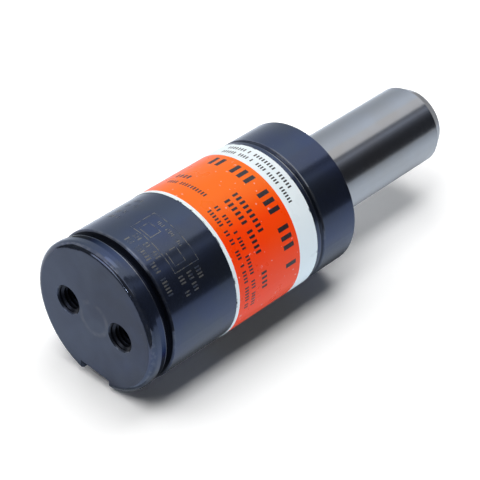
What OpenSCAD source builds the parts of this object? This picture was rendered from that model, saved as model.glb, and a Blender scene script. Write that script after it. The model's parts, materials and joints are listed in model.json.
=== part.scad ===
// Nitrogen die spring: a gas cylinder that stands on its base, with its rod pointing up.
// Millimetres. The origin is the centre of the base face and +Z runs along the rod.
// The two base threads lie on X, and the charging port opens towards +Y.

/* [Cylinder] */
// Outside diameter of the cylinder
body_d = 45; // [42:0.5:60]
// Thickness of the closed base
base_t = 11.5; // [11:0.5:25]
// Radius of the edge round the base face
base_radius = 1.9; // [0.5:0.1:2.4]
// Chamfer round the open end, outside and inside
mouth_chamfer = 0.6; // [0.2:0.1:1]

/* [Clamping grooves] */
// Height of the land below the lower groove
flange_h = 5.4; // [5:0.1:7]
// Height of the slight taper at the top of the land
lead_h = 2.2; // [0.5:0.1:2.4]
// How far the taper falls back from the outside of the cylinder
lead_drop = 0.3; // [0.1:0.05:0.6]
// Width of the lower groove
low_groove_w = 2.4; // [1:0.1:3]
// Depth of the lower groove
low_groove_depth = 2; // [1:0.1:3]
// Chamfer on the upper edge of the lower groove
low_groove_edge = 0.5; // [0.2:0.1:0.9]
// Height of the collar above the upper groove
collar_h = 13.5; // [8:0.1:18]
// Width of the upper groove
top_groove_w = 1.5; // [1:0.1:2]
// Depth of the upper groove, which has a round floor
top_groove_depth = 0.6; // [0.3:0.1:0.9]
// Chamfer on the other edges of both grooves
edge_break = 0.2; // [0.1:0.05:0.3]

/* [Base threads] */
// Thread diameter of the two fixing holes
base_thread_d = 8; // [5:1:8]
// Distance between the two fixing holes
base_thread_pitch = 20; // [18:0.5:26]
// Depth of the fixing holes
base_thread_depth = 8.5; // [5:0.5:9]
// Width of the countersink's rim round each thread
thread_rim = 0.5; // [0.2:0.1:1]

/* [Charging port] */
// Width of the notch milled in the base rim
notch_w = 11.2; // [10:0.1:13]
// Height of the notch
notch_h = 9.3; // [8:0.1:9.9]
// Sideways shift of the notch from the port
notch_shift = 1.1; // [0:0.1:1.3]
// Depth of the notch below the outside of the cylinder
notch_depth = 4.1; // [3:0.1:5]
// Diameter of the port's thread
port_d = 6; // [5:0.5:6]
// Diameter of the pocket behind the valve
valve_pocket_d = 4.6; // [4.4:0.1:4.8]
// Diameter of the gas passage to the bore
passage_d = 1.6; // [1:0.1:2]
// Length of the plug that closes the port
plug_h = 3.2; // [2.5:0.1:3.5]
// Thickness of the sealing washer under the plug
plug_seal_h = 0.6; // [0.4:0.1:1]
// Length of the valve body
valve_h = 4.5; // [4:0.1:5]
// Distance the valve's poppet can be pushed in
poppet_travel = 0.8; // [0.4:0.1:1]
// Width of the plug's hexagon socket across its flats
socket_across = 2.5; // [2:0.5:3]
// Depth of the plug's hexagon socket
socket_depth = 1.8; // [1:0.1:2.2]

/* [Label] */
// Height of the label
label_h = 32.9; // [15:0.1:40]
// Thickness of the label
label_t = 0.12; // [0.05:0.01:0.3]
// Distance from the upper groove down to the label
label_margin = 1.8; // [0.5:0.1:6]
// Gap between the label's two ends at the back
label_gap = 5; // [1:0.5:20]

/* [Rod] */
// Diameter of the piston rod
rod_d = 25; // [24:0.5:26]
// Stroke of the rod
stroke = 50; // [40:1:125]
// Length of rod that still stands out at full stroke
rod_stub = 4; // [2:0.5:10]
// Radial width of the chamfer round the tip
tip_chamfer = 2.1; // [0.5:0.1:4]
// Height of the chamfer round the tip
tip_chamfer_h = 3.7; // [0.5:0.1:6]
// Thread diameter of the service hole in the tip
tip_thread_d = 6; // [4:1:8]
// Depth of the service hole in the tip
tip_thread_depth = 12; // [6:1:20]

/* [Piston] */
// Height of the piston
piston_h = 4.9; // [4.6:0.1:8]
// Height of the wear band round the piston
wear_band_h = 2.6; // [1.5:0.1:2.8]
// Thickness of the wear band
wear_band_t = 1.5; // [1:0.1:2]
// Height of the split ring that locks the piston to the rod
lock_h = 1.2; // [0.8:0.1:1.5]

/* [Rod guide] */
// Room between the rod and the bore, which the guide and its seals fill
guide_room = 5; // [4.6:0.1:6]
// Height of the lips at both ends of the guide bush
guide_lip = 0.8; // [0.5:0.1:2]
// Height of the bearing band
band_h = 2.6; // [2:0.1:4]
// Thickness of the bearing band
band_t = 1.5; // [1:0.1:1.8]
// Height of the web between the bearing band and the seal
guide_web = 0.7; // [0.5:0.1:2]
// Height of the rod seal
seal_h = 3.2; // [2.5:0.1:5]
// Height of the support ring behind the rod seal
support_h = 1.1; // [0.6:0.1:2]
// Radial depth of the rod seal's gland
gland_depth = 2.6; // [2:0.1:2.8]
// Depth of the static seal's groove
static_depth = 1.7; // [1.2:0.1:1.9]
// Height of the back-up ring beside the static seal
backup_h = 1; // [0.5:0.1:1.2]

/* [Mouth of the cylinder] */
// Height of the retaining ring
snap_h = 1.6; // [1:0.1:2.5]
// Depth of the retaining ring's groove
snap_depth = 1.2; // [0.8:0.1:2]
// Height of the dust cap
cap_h = 2.7; // [2.4:0.1:4]
// Distance from the open end down to the dust cap
cap_recess = 0.75; // [0.2:0.05:1]

/* [Clearances] */
// Running clearance of what slides, on the radius
run_gap = 0.05; // [0.02:0.01:0.1]
// Clearance of what is seated, on the radius
seat_gap = 0.02; // [0.01:0.01:0.05]
// Clearance of what passes without touching, on the radius
free_gap = 0.3; // [0.2:0.05:0.5]
// Gap left under the rod at full stroke
end_gap = 0.5; // [0.3:0.1:2]
// Gap between the piston and its stop at rest
stop_gap = 0.1; // [0.05:0.05:0.3]

/* [Hidden] */
$fn = 96;
cut = 1;

// Radii
body_r = body_d / 2;
rod_r = rod_d / 2;
bore_r = rod_r + guide_room;
run_r = rod_r + run_gap;

// Heights, from the base up to the open end
rod_low = base_t + stroke + end_gap;
piston_top = rod_low + piston_h;
guide_low = piston_top + stop_gap;
guide_h = 2 * guide_lip + band_h + guide_web + seal_h + support_h;
guide_top = guide_low + guide_h;
snap_top = guide_top + snap_h;
cap_top = snap_top + cap_h;
body_len = cap_top + cap_recess;
rod_top = body_len + stroke + rod_stub;

// Clamping grooves and label
low_groove_top = flange_h + low_groove_w;
top_groove_top = body_len - collar_h;
top_groove_low = top_groove_top - top_groove_w;
top_groove_r = (pow(top_groove_w / 2, 2) + pow(top_groove_depth, 2)) / (2 * top_groove_depth);
label_top = top_groove_low - label_margin;
label_low = label_top - label_h;
label_seam_angle = 150;

// Base threads and the service thread
base_thread_r = base_thread_d / 2;
tip_thread_r = tip_thread_d / 2;

// Charging port, as distances from the cylinder's axis
port_r = port_d / 2;
port_z = notch_h / 2;
notch_floor = body_r - notch_depth;
plug_recess = 0.2;
plug_edge = 0.4;
plug_top = notch_floor - plug_recess;
plug_low = plug_top - plug_h;
valve_top = plug_low - plug_seal_h;
valve_low = valve_top - valve_h;
valve_groove_h = 1;
valve_groove_depth = 0.75;
valve_groove_rise = 1.6;
valve_groove_low = valve_low + valve_groove_rise;
stem_r = 0.6;
stem_hole_r = stem_r + free_gap;
stem_recess = 0.5;
poppet_side_gap = 0.5;
poppet_r = valve_pocket_d / 2 - poppet_side_gap;
poppet_seal_h = 0.5;
poppet_head_h = 0.7;
poppet_head_top = valve_low - poppet_seal_h - seat_gap;
poppet_head_low = poppet_head_top - poppet_head_h;
stem_top = valve_top - stem_recess;
spring_wire_r = 0.15;
spring_turns = 4;
spring_pressed_h = 2;
valve_spring_h = spring_pressed_h + poppet_travel;
pocket_low = poppet_head_low - valve_spring_h;
passage_edge = 0.2;
passage_y = pocket_low + passage_d / 2 + passage_edge;

// Rod guide
band_low = guide_low + guide_lip;
band_groove_r = run_r + band_t + seat_gap;
gland_low = band_low + band_h + guide_web;
gland_r = rod_r + gland_depth;
support_low = gland_low + seal_h;
guide_r = bore_r - seat_gap;
static_r = bore_r - static_depth;
static_low = guide_low + guide_lip;
o_ring_d = static_depth - 2 * seat_gap;
static_h = o_ring_d + backup_h + 2 * seat_gap;
seal_lip_w = 0.5;
split_gap = 1;
band_slit_angle = 30;
backup_slit_angle = 200;
wear_slit_angle = 75;
lock_slit_angle = 120;

// Mouth of the cylinder
snap_groove_r = bore_r + snap_depth;
snap_overlap = 1.5;
snap_inner_r = bore_r - snap_overlap;
snap_opening = 34;
wiper_w = 1.75;
wiper_r = rod_r + wiper_w;
wiper_lip_edge = 0.25;
wiper_lip_recess = 0.1;
cap_flange_h = 0.8;
cap_overlap = 0.6;
cap_hole_r = wiper_r - cap_overlap;
cap_edge = 0.4;
wiper_foot_top = cap_top - cap_flange_h;

// Piston and its lock
piston_r = bore_r - free_gap;
journal_step = 2.5;
journal_r = rod_r - journal_step;
foot_lip = 1;
lock_low = rod_low + foot_lip;
lock_reach = 1.2;
lock_groove_r = journal_r - lock_reach;
lock_outer_r = journal_r + lock_reach;
lock_room = 0.1;
recess_r = lock_outer_r + lock_room;
wear_band_r = bore_r - run_gap;
wear_groove_r = wear_band_r - wear_band_t - run_gap;
wear_band_low = rod_low + (piston_h - wear_band_h) / 2;

// Colours
oxide_colour = [0.13, 0.14, 0.18];
label_colour = [1.0, 0.38, 0.05];
rod_colour = [0.62, 0.63, 0.66];
steel_colour = [0.45, 0.46, 0.48];
bronze_colour = [0.66, 0.5, 0.27];
rubber_colour = [0.08, 0.08, 0.08];
seal_colour = [0.16, 0.32, 0.3];
plastic_colour = [0.2, 0.2, 0.22];

// A plain ring between two radii and two heights
module ring(inner_r, outer_r, low, high) {
    rotate_extrude() translate([inner_r, low]) square([outer_r - inner_r, high - low]);
}

// A ring of round section
module round_ring(centre_r, section_d, height) {
    rotate_extrude() translate([centre_r, height]) circle(d = section_d);
}

// A plain ring with a straight slit, as a split band or lock ring has
module split_ring(inner_r, outer_r, low, high, slit, angle) {
    difference() {
        ring(inner_r, outer_r, low, high);
        rotate([0, 0, angle]) translate([0, -slit / 2, low - cut])
            cube([outer_r + cut, slit, high - low + 2 * cut]);
    }
}

// Puts its children on the charging port's axis, with their heights measured from the cylinder's axis
module on_port_axis() {
    translate([0, 0, port_z]) rotate([-90, 0, 0]) children();
}

// A fixing hole that opens downwards at the origin, with a countersunk rim
module thread_hole(radius, depth) {
    translate([0, 0, -cut]) cylinder(r = radius, h = depth + cut);
    translate([0, 0, -cut]) cylinder(r1 = radius + thread_rim + cut, r2 = radius, h = thread_rim + cut);
}

// The half section of the solid that is cut away from the cylinder's outside
module tube_outside_cuts() {
    translate([body_r - base_radius, base_radius]) difference() {
        translate([0, -base_radius - cut]) square(base_radius + cut);
        circle(r = base_radius);
    }
    translate([body_r - top_groove_depth + top_groove_r, top_groove_low + top_groove_w / 2])
        circle(r = top_groove_r);
    for (z = [top_groove_low, top_groove_top])
        translate([body_r, z]) rotate(45) square(edge_break * sqrt(2), center = true);
}

// The half section of the bare cylinder, with sharp corners outside
module tube_block() {
    groove_r = body_r - low_groove_depth;
    lead_r = body_r - lead_drop;
    polygon([
        [0, 0],
        [body_r, 0],
        [body_r, flange_h - lead_h],
        [lead_r, flange_h - edge_break],
        [lead_r - edge_break, flange_h],
        [groove_r, flange_h],
        [groove_r, low_groove_top],
        [body_r - low_groove_edge, low_groove_top],
        [body_r, low_groove_top + low_groove_edge],
        [body_r, body_len - mouth_chamfer],
        [body_r - mouth_chamfer, body_len],
        [bore_r + mouth_chamfer, body_len],
        [bore_r, body_len - mouth_chamfer],
        [bore_r, snap_top],
        [snap_groove_r, snap_top],
        [snap_groove_r, guide_top],
        [bore_r, guide_top],
        [bore_r, base_t],
        [0, base_t]
    ]);
}

module tube_profile() {
    difference() {
        tube_block();
        tube_outside_cuts();
    }
}

// The notch in the rim that gives a charging tool its way to the port
module port_notch() {
    flat_w = notch_w - notch_h;
    on_port_axis() translate([notch_shift, 0, notch_floor]) {
        for (side = [-1, 1])
            translate([side * flat_w / 2, 0, 0]) cylinder(d = notch_h, h = notch_depth + cut);
        translate([-flat_w / 2, -port_z, 0]) cube([flat_w, port_z, notch_depth + cut]);
        translate([-notch_w / 2, 0, 0]) cube([notch_w, port_z + cut, notch_depth + cut]);
    }
}

module port_bore() {
    on_port_axis() {
        translate([0, 0, valve_low]) cylinder(r = port_r, h = notch_floor - valve_low + cut);
        translate([0, 0, pocket_low]) cylinder(d = valve_pocket_d, h = valve_low - pocket_low + cut);
    }
    translate([0, passage_y, port_z]) cylinder(d = passage_d, h = base_t - port_z + cut);
}

module cylinder_tube() {
    color(oxide_colour) difference() {
        rotate_extrude() tube_profile();
        for (side = [-1, 1])
            translate([side * base_thread_pitch / 2, 0, 0]) thread_hole(base_thread_r, base_thread_depth);
        port_notch();
        port_bore();
    }
}

module label() {
    color(label_colour) split_ring(
        body_r + seat_gap / 2, body_r + label_t, label_low, label_top, label_gap, label_seam_angle
    );
}

module guide_bush() {
    color(bronze_colour) rotate_extrude() difference() {
        translate([rod_r + free_gap, guide_low]) square([guide_r - rod_r - free_gap, guide_h]);
        translate([0, band_low]) square([band_groove_r, band_h]);
        translate([0, gland_low]) square([gland_r, seal_h + support_h]);
        translate([static_r, static_low]) square([static_depth, static_h]);
    }
}

module guide_band() {
    color(seal_colour)
        split_ring(run_r, run_r + band_t, band_low, band_low + band_h, split_gap, band_slit_angle);
}

// A lip seal that opens towards the gas, below it
module rod_seal() {
    outer_r = gland_r - seat_gap;
    middle_r = (run_r + outer_r) / 2;
    color(seal_colour) rotate_extrude() polygon([
        [run_r, gland_low],
        [run_r + seal_lip_w, gland_low],
        [middle_r, gland_low + seal_h / 2],
        [outer_r - seal_lip_w, gland_low],
        [outer_r, gland_low],
        [outer_r, support_low],
        [run_r + seal_lip_w / 2, support_low],
        [run_r + seal_lip_w / 2, gland_low + seal_h / 2],
        [run_r, gland_low + seal_h / 3]
    ]);
}

module seal_support_ring() {
    color(plastic_colour) ring(run_r, gland_r - seat_gap, support_low, support_low + support_h);
}

module guide_o_ring() {
    color(rubber_colour)
        round_ring(bore_r - static_depth / 2, o_ring_d, static_low + seat_gap + o_ring_d / 2);
}

module guide_backup_ring() {
    top = static_low + static_h;
    color(plastic_colour)
        split_ring(static_r + seat_gap, guide_r, top - backup_h, top, split_gap, backup_slit_angle);
}

// A spring steel ring with a wide opening, as it has to be squeezed into its groove
module retaining_ring() {
    color(steel_colour) difference() {
        ring(snap_inner_r, snap_groove_r - seat_gap, guide_top, snap_top);
        for (side = [-1, 1]) rotate([0, 0, side * snap_opening / 4])
            linear_extrude(height = body_len) polygon([
                [0, 0],
                [2 * body_r, 2 * body_r * tan(snap_opening / 4)],
                [2 * body_r, -2 * body_r * tan(snap_opening / 4)]
            ]);
    }
}

module dust_cap() {
    outer_r = bore_r - seat_gap;
    color(plastic_colour) rotate_extrude() polygon([
        [wiper_r + seat_gap, snap_top],
        [outer_r, snap_top],
        [outer_r, cap_top - cap_edge],
        [outer_r - cap_edge, cap_top],
        [cap_hole_r + cap_edge, cap_top],
        [cap_hole_r, cap_top - cap_edge],
        [cap_hole_r, wiper_foot_top],
        [wiper_r + seat_gap, wiper_foot_top]
    ]);
}

// A rubber ring held under the dust cap, with a lip that rises against the rod
module rod_wiper() {
    lip_top = body_len - wiper_lip_recess;
    neck_r = cap_hole_r - seat_gap;
    color(rubber_colour) rotate_extrude() polygon([
        [rod_r + free_gap, snap_top],
        [wiper_r, snap_top],
        [wiper_r, wiper_foot_top],
        [neck_r, wiper_foot_top],
        [neck_r, cap_top],
        [run_r + wiper_lip_edge, lip_top],
        [run_r, lip_top],
        [run_r, cap_top - wiper_lip_edge],
        [rod_r + free_gap, wiper_foot_top]
    ]);
}

module valve_body() {
    color(bronze_colour) on_port_axis() difference() {
        translate([0, 0, valve_low]) cylinder(r = port_r - seat_gap, h = valve_h);
        translate([0, 0, valve_low - cut]) cylinder(r = stem_hole_r, h = valve_h + 2 * cut);
        ring(port_r - valve_groove_depth, port_r + cut, valve_groove_low, valve_groove_low + valve_groove_h);
    }
}

module valve_o_ring() {
    color(rubber_colour) on_port_axis() round_ring(
        port_r - valve_groove_depth / 2,
        valve_groove_depth - 2 * seat_gap,
        valve_groove_low + valve_groove_h / 2
    );
}

// One point on the section of a coil: the turn angle sets its place along the helix
function coil_point(turn_angle, around, mean_r, wire_r, rise) = let (
    reach = mean_r + wire_r * cos(around)
) [reach * cos(turn_angle), reach * sin(turn_angle), rise * turn_angle / 360 + wire_r * sin(around)];

module coil(mean_r, wire_r, rise, turns) {
    sides = 8;
    steps_per_turn = 20;
    steps = turns * steps_per_turn;
    points = [
        for (i = [0:steps]) for (j = [0:sides - 1])
            coil_point(i * 360 / steps_per_turn, j * 360 / sides, mean_r, wire_r, rise)
    ];
    walls = [
        for (i = [0:steps - 1]) for (j = [0:sides - 1]) let (next = (j + 1) % sides)
            [i * sides + j, (i + 1) * sides + j, (i + 1) * sides + next, i * sides + next]
    ];
    first_cap = [for (j = [0:sides - 1]) j];
    last_cap = [for (j = [sides - 1:-1:0]) steps * sides + j];
    polyhedron(points = points, faces = concat(walls, [first_cap, last_cap]));
}

module valve_spring() {
    rise = (valve_spring_h - 2 * spring_wire_r) / spring_turns;
    color(steel_colour) on_port_axis() translate([0, 0, pocket_low + spring_wire_r])
        coil(poppet_r - 2 * spring_wire_r, spring_wire_r, rise, spring_turns);
}

module plug_seal() {
    color(bronze_colour) on_port_axis() ring(port_r / 2, port_r - seat_gap, valve_top, plug_low);
}

module port_plug() {
    plug_r = port_r - seat_gap;
    color(oxide_colour) on_port_axis() difference() {
        union() {
            translate([0, 0, plug_low]) cylinder(r = plug_r, h = plug_h - plug_edge);
            translate([0, 0, plug_top - plug_edge])
                cylinder(r1 = plug_r, r2 = plug_r - plug_edge, h = plug_edge);
        }
        translate([0, 0, plug_top - socket_depth])
            cylinder(r = socket_across / 2 / cos(30), h = socket_depth + cut, $fn = 6);
    }
}

module valve_poppet() {
    color(steel_colour) on_port_axis() {
        translate([0, 0, poppet_head_low]) cylinder(r = poppet_r, h = poppet_head_h);
        translate([0, 0, poppet_head_low]) cylinder(r = stem_r, h = stem_top - poppet_head_low);
    }
}

module poppet_seal() {
    color(rubber_colour) on_port_axis()
        ring(stem_r + seat_gap, poppet_r, poppet_head_top, poppet_head_top + poppet_seal_h);
}

module piston_wear_band() {
    color(seal_colour) split_ring(
        wear_band_r - wear_band_t, wear_band_r, wear_band_low, wear_band_low + wear_band_h,
        split_gap, wear_slit_angle
    );
}

// The half section of the rod, with a journal for the piston and a chamfered tip
module rod_profile() {
    difference() {
        union() {
            translate([0, rod_low]) square([journal_r, piston_h + cut]);
            polygon([
                [0, piston_top],
                [rod_r, piston_top],
                [rod_r, rod_top - tip_chamfer_h],
                [rod_r - tip_chamfer, rod_top],
                [0, rod_top]
            ]);
        }
        translate([lock_groove_r, lock_low]) square([journal_r, lock_h]);
    }
}

module piston_rod() {
    color(rod_colour) difference() {
        rotate_extrude() rod_profile();
        translate([0, 0, rod_top]) mirror([0, 0, 1]) thread_hole(tip_thread_r, tip_thread_depth);
    }
}

module piston() {
    color(steel_colour) rotate_extrude() difference() {
        translate([journal_r + seat_gap, rod_low]) square([piston_r - journal_r - seat_gap, piston_h]);
        translate([0, rod_low]) square([recess_r, foot_lip + lock_h]);
        translate([wear_groove_r, wear_band_low - run_gap]) square([bore_r, wear_band_h + 2 * run_gap]);
    }
}

module piston_lock_ring() {
    color(steel_colour) split_ring(
        lock_groove_r + seat_gap, lock_outer_r, lock_low, lock_low + lock_h, split_gap, lock_slit_angle
    );
}

cylinder_tube();
label();
guide_bush();
guide_band();
rod_seal();
seal_support_ring();
guide_o_ring();
guide_backup_ring();
retaining_ring();
dust_cap();
rod_wiper();
valve_body();
valve_o_ring();
valve_spring();
plug_seal();
port_plug();
valve_poppet();
poppet_seal();
piston_wear_band();
piston_rod();
piston();
piston_lock_ring();
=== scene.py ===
"""Looks of a nitrogen die spring: finishes for its solids, threads, label print, laser mark and stage."""

import json
import math
from collections import namedtuple

import bmesh
import bpy
from bpy.props import FloatProperty, FloatVectorProperty, PointerProperty
from mathutils import Matrix, Vector


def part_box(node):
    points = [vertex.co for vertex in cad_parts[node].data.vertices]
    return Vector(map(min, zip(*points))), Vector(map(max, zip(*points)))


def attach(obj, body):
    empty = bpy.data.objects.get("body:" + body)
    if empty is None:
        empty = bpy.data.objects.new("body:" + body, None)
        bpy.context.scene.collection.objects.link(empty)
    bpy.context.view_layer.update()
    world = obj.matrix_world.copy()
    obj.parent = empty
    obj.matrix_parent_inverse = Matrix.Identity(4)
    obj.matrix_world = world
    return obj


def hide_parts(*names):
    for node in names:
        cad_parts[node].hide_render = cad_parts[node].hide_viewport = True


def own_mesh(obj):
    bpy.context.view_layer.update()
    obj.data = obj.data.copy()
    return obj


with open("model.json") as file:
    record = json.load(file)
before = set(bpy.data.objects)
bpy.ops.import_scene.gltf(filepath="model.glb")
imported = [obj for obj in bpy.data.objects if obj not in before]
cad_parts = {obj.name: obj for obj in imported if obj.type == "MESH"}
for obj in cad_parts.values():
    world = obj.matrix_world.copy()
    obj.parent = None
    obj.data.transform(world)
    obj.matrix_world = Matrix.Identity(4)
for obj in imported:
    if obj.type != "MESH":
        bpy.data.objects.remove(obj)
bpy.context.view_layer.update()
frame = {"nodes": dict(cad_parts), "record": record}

bl_info = {
    "name": "Nitrogen die spring",
    "version": (1, 0, 0),
    "blender": (4, 5, 0),
    "location": "3D View > Sidebar > Die spring",
    "description": "Finishes, fine threads, label print, laser mark and stage for a nitrogen die spring",
    "category": "Object",
}

# Sizes and places in metres, read from the imported solids and the record, with the land's lead and top and
# the upper groove's half width given
MM = 0.001
MOUNTS = {mount["name"]: mount for mount in frame["record"]["mounts"]}
BODY_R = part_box("cylinder_tube")[1].x
ROD_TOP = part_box("piston_rod")[1].z
LABEL_LOW, LABEL_TOP = (corner.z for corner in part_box("label"))
LABEL_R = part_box("label")[1].x
BASE_HOLE_R = MOUNTS["base_threads"]["dims"]["hole_r_mm"] * MM
BASE_HOLE_X = MOUNTS["base_threads"]["dims"]["spacing_x_mm"] * MM / 2
TIP_HOLE_R = MOUNTS["tip_thread"]["dims"]["r_mm"] * MM
LAND_LEAD = 3.2 * MM
LAND_TOP = 5.4 * MM
LOWER_GROOVE = MOUNTS["lower_groove"]["pos_m"][2]
UPPER_GROOVE = MOUNTS["upper_groove"]["pos_m"][2]
UPPER_HALF = 0.75 * MM

# The grooves, darkened with painted shade, as their middle and half width, and the lips, worn and painted
# as highlights, as a height and how bare each is
GROOVES = (
    (LOWER_GROOVE + 0.25 * MM, LOWER_GROOVE - LAND_TOP + 0.25 * MM),
    (UPPER_GROOVE, UPPER_HALF),
)
LIPS_WORN_AND_LIT = (
    (LAND_TOP - 0.15 * MM, 1.0),
    (LOWER_GROOVE + 1.75 * MM, 0.15),
    (UPPER_GROOVE - UPPER_HALF - 0.1 * MM, 1.0),
    (UPPER_GROOVE + UPPER_HALF + 0.1 * MM, 0.4),
)
TIP_EDGE = 3.7 * MM
AXIS = Vector((0, 0, 1))

# The side where the lips get a painted highlight, in degrees from the upward side, and the ring mark on the
# base
LIP_HIGHLIGHT_DEGREES = 30
BASE_RING_R = 5.0 * MM

# The valve spring's turns, and the axis it is wound along
COIL_TURNS = 4
COIL_AXIS = Vector((0, 1, 0))

# Rows of print and laser marks: heights in millimetres, angles in degrees from the side that faces up
# when the spring lies on the floor, the lengths of the words in a row relative to each other, the gap
# between words in degrees, and the width of one tick in millimetres
Row = namedtuple("Row", "low high start end words gap tick")
PRINT_ROWS = (
    Row(51.3, 55.3, -19, 93, (2, 3, 3, 3, 1), 7, 1.35),
    Row(44.9, 46.9, 21, 57, (10,), 3, 0.75),
    Row(41.4, 43.4, 22, 67, (6, 5), 4, 0.75),
    Row(41.6, 43.6, 80, 96, (3,), 3, 0.75),
    Row(37.5, 38.9, 22, 104, (3, 6, 1, 6, 9, 4, 7), 3, 0.5),
    Row(34.9, 36.3, 22, 104, (8, 2, 3, 4, 1, 5, 6, 3), 3, 0.5),
    Row(41.6, 43.4, -27, -10, (4,), 3, 0.75),
    Row(38.1, 39.5, -26, 12, (3, 8), 3, 0.5),
    Row(61.5, 62.8, -24, 38, (6, 1, 7, 5), 3, 0.5),
    Row(58.9, 60.2, -24, 48, (5, 3, 1, 3, 4, 5), 3, 0.45),
)
LASER_ROWS = (
    Row(12.3, 14.0, 8, 34, (4, 3, 4), 2.5, 0.45),
    Row(9.7, 11.4, 7, 58, (3, 5, 4, 5), 2.5, 0.45),
    Row(20.9, 22.6, 50, 60, (3,), 2.5, 0.45),
    Row(17.9, 19.6, 50, 66, (3, 4), 2.5, 0.45),
    Row(14.9, 16.6, 50, 66, (3, 2), 3.5, 0.45),
    Row(20.8, 22.0, 9, 33, (3, 4, 3), 2.5, 0.3),
    Row(15.8, 17.2, -27, -14, (3, 2), 3, 0.45),
    Row(18.8, 20.2, -27, -15, (2, 3), 3, 0.45),
    Row(22.6, 24.0, -28, -14, (3, 3), 3, 0.45),
    Row(25.4, 26.8, -27, -17, (3,), 3, 0.45),
)

# Frames of the laser mark: heights in millimetres and angles in degrees from the upward side
Band = namedtuple("Band", "low high start end")
LASER_FRAMES = (Band(14.6, 23.5, 0, 47), Band(15.6, 19.6, 5, 17), Band(15.8, 19.8, 31, 43))

# Lamps: degrees from the upward side
LAMP_DEGREES = {"key": 7, "fill": -15, "left": -62, "right": 86}

# Cards beside the spring: stops of an angle in degrees from the upward side and a level
FLOOR_TINT = (0.90, 0.98, 1.06)
DARK_TINT = (0.92, 1.0, 1.18)
LEFT_TINT = (0.90, 0.985, 1.09)
DARK_STOPS = (
    (20, 0.24), (23, 0.19), (27, 0.19), (31, 0.32), (35, 0.38), (38, 0.32), (41, 0.18), (46, 0.11),
    (53, 0.06), (60, 0.035), (82, 0.03), (96.5, 0.06),
)
LEFT_STOPS = (
    (-125, 1.2), (-110, 1.0), (-100, 0.80), (-88, 0.68), (-65, 0.66), (-45, 0.78), (-25, 1.0), (-8, 1.05),
)
FAR_FLOOR_STOPS = ((96.5, 0.48), (106, 0.60), (117, 0.76), (140, 0.88), (232, 0.88))
# A floor strip at the base's end, seen only in reflections, with a painted contact shadow under the spring.
FRONT_FLOOR_SHADOW_STOPS = ((120, 0.85), (135, 0.60), (145, 0.25), (215, 0.25), (225, 0.60), (240, 0.85))
OVERHEAD_STOPS = ((-16, 2.0), (4, 2.0))

# The mirrored floor near the spring: how far it lies below the floor that is seen, and stops of a place
# across the axis in millimetres and a level
FLOOR_DROP = 0.05 * MM
BODY_FLOOR_STOPS = (
    (-45, 0.88), (-30, 0.85), (-22, 0.60), (-17, 0.20), (-12, 0.06), (12, 0.06), (16, 0.10), (19, 0.26),
    (22, 0.48), (25, 0.64), (32, 0.80), (45, 0.88),
)
ROD_FLOOR_STOPS = (
    (-45, 0.88), (-16, 0.80), (-8, 0.50), (-4, 0.32), (4, 0.32), (8, 0.50), (12, 0.68), (16, 0.80),
    (22, 0.86), (45, 0.88),
)

# Cards beyond the ends: ranges across and above the axis and a height along it in metres, and a level
EndCard = namedtuple("EndCard", "name across above height level")
END_CARDS = (
    EndCard("front_card", (-1.2, 0.9), (-0.36, 0.34), -0.5, 0.10),
    EndCard("front_strip", (-0.36, -0.11), (-0.05, 0.18), -0.49, 1.9),
    EndCard("upper_strip", (-0.20, 0.0), (0.34, 0.52), -0.49, 2.0),
    EndCard("front_lamp", (-0.123, -0.111), (-0.093, -0.081), -0.48, 100.0),
    EndCard("back_card", (-1.0, 1.0), (-1.0, 1.0), 1.33, 0.55),
)


# Sizes and colours that a user would change

def colour(name, description, default):
    return FloatVectorProperty(
        name=name, description=description, default=default, subtype="COLOR", size=3, min=0, max=1
    )


def length(name, description, default):
    return FloatProperty(name=name, description=description, default=default, unit="LENGTH", precision=5)


def angle(name, description, degrees):
    return FloatProperty(
        name=name, description=description, default=math.radians(degrees), subtype="ANGLE", unit="ROTATION"
    )


def level(name, description, default):
    return FloatProperty(name=name, description=description, default=default, min=0, soft_max=4)


def watts(name, description, default):
    return FloatProperty(name=name, description=description, default=default, min=0, unit="POWER")


class DieSpringFinish(bpy.types.PropertyGroup):
    """Colours of the finishes."""

    oxide: colour("Oxide", "Black oxide on the cylinder", (0.071, 0.087, 0.128))
    oxide_blue: colour("Blue oxide", "Bluer clouds in the black oxide", (0.062, 0.079, 0.140))
    oxide_pale: colour("Pale oxide", "Paler oxide on one side of the base", (0.092, 0.115, 0.176))
    oxide_stain: colour("Oxide stain", "Darker stains on the base", (0.053, 0.061, 0.090))
    # Deep oxide also paints shade inside the holes and grooves, and is the label's colour for bounced
    # light.
    deep_oxide_and_shade: colour("Deep oxide", "Dark oxide in the holes and grooves", (0.010, 0.011, 0.016))
    # Bare edge also paints the highlight on the lips.
    bare_edge_and_highlight: colour("Bare edge", "Steel that shows where an edge is worn", (0.30, 0.31, 0.33))
    rod: colour("Rod", "Ground steel of the rod", (0.40, 0.415, 0.45))
    rod_warm: colour("Warm rod", "Warmer clouds in the ground steel", (0.385, 0.385, 0.395))
    # The label's field has a lit copy, more orange, and a shaded copy, redder, painted by how far the film
    # faces up.
    label_orange_lit: colour("Label orange", "Coloured field of the label", (0.97, 0.158, 0.004))
    label_red_shaded: colour("Label red", "Coloured field where it has faded least", (1.0, 0.050, 0.0))
    label_white: colour("Label white", "White edges and band of the label", (0.84, 0.91, 0.94))
    ink: colour("Ink", "Print on the label", (0.014, 0.011, 0.014))
    laser: colour("Laser mark", "Light oxide left by the laser", (0.17, 0.169, 0.166))
    steel: colour("Steel", "Turned steel of the inner pieces", (0.40, 0.41, 0.43))
    bronze: colour("Bronze", "Turned bronze of the guide and valve", (0.50, 0.33, 0.13))
    rubber: colour("Rubber", "Rubber of the wiper and O-rings", (0.022, 0.022, 0.024))
    seal: colour("Seal", "Plastic of the seals and bands", (0.05, 0.14, 0.13))
    cap: colour("Cap", "Plastic of the dust cap and rings", (0.030, 0.030, 0.035))


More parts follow.
